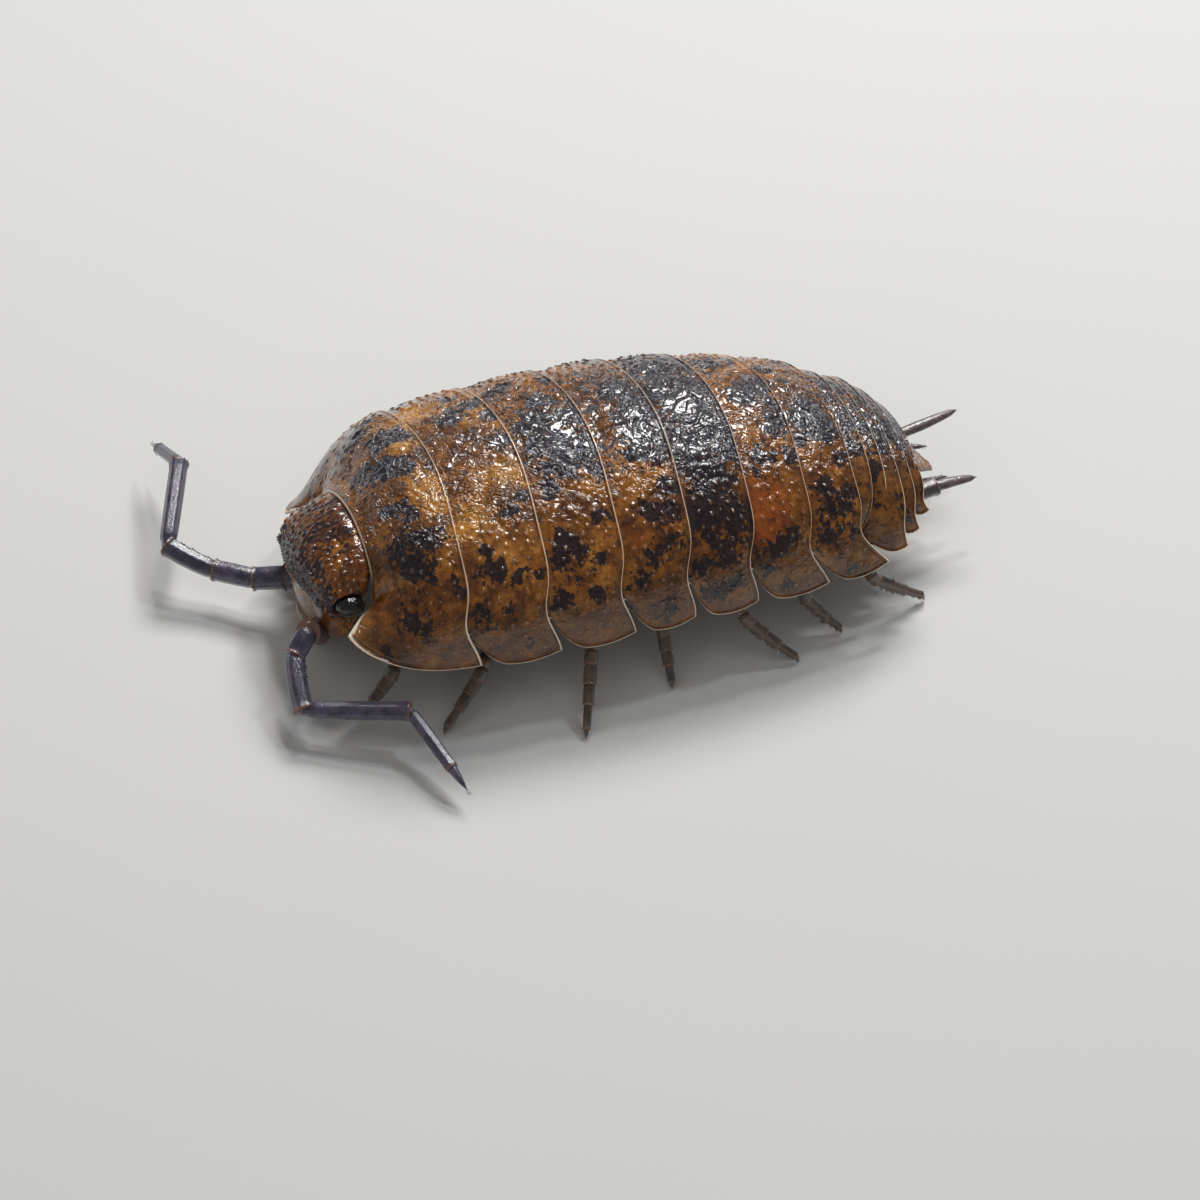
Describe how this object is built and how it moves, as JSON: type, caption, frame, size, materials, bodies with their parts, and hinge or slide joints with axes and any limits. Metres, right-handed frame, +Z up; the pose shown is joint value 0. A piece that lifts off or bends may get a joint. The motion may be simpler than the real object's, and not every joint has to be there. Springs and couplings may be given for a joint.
{
  "type": "woodlouse",
  "caption": "Life-size woodlouse standing still: domed body of overlapping glossy mottled shell plates, elbowed feelers spread, short legs and tail prongs.",
  "frame": {"origin": "on the floor under the middle of the animal's bounding box", "axes": "+Z up, head towards -Y, the animal's left side towards +X"},
  "size_m": [0.0136, 0.0196, 0.0049],
  "materials": {
    "shell": "wet-looking translucent amber shell with irregular blue-black blotches, fine tubercles and pale bead lines at the plate margins",
    "head_shell": "glossy granular dark shell, blue-black at the front, speckled orange-brown behind",
    "eye": "glossy black, faceted by small lenses",
    "antenna": "smooth slate violet with orange-brown joint rims and fine bristles",
    "uropod": "satin greyish brown",
    "leg": "translucent dark brown with pale joints and short spines",
    "underside": "pale cream membrane with soft sheen"
  },
  "bodies": {
    "root": {"pereonite_1": "shell", "pereonite_2": "shell", "pereonite_3": "shell", "pereonite_4": "shell", "pereonite_5": "shell", "pereonite_6": "shell", "pereonite_7": "shell", "pleonite_1": "shell", "pleonite_2": "shell", "pleonite_3": "shell", "pleonite_4": "shell", "pleonite_5": "shell", "telson": "shell", "head": "head_shell", "eye_left": "eye", "eye_right": "eye", "mouthparts": "underside", "antenna_left": "antenna", "antenna_right": "antenna", "uropod_left": "uropod", "uropod_right": "uropod", "pleopods": "underside", "leg_left_1": "leg", "leg_left_2": "leg", "leg_left_3": "leg", "leg_left_4": "leg", "leg_left_5": "leg", "leg_left_6": "leg", "leg_left_7": "leg", "leg_right_1": "leg", "leg_right_2": "leg", "leg_right_3": "leg", "leg_right_4": "leg", "leg_right_5": "leg", "leg_right_6": "leg", "leg_right_7": "leg"}
  },
  "joints": []
}
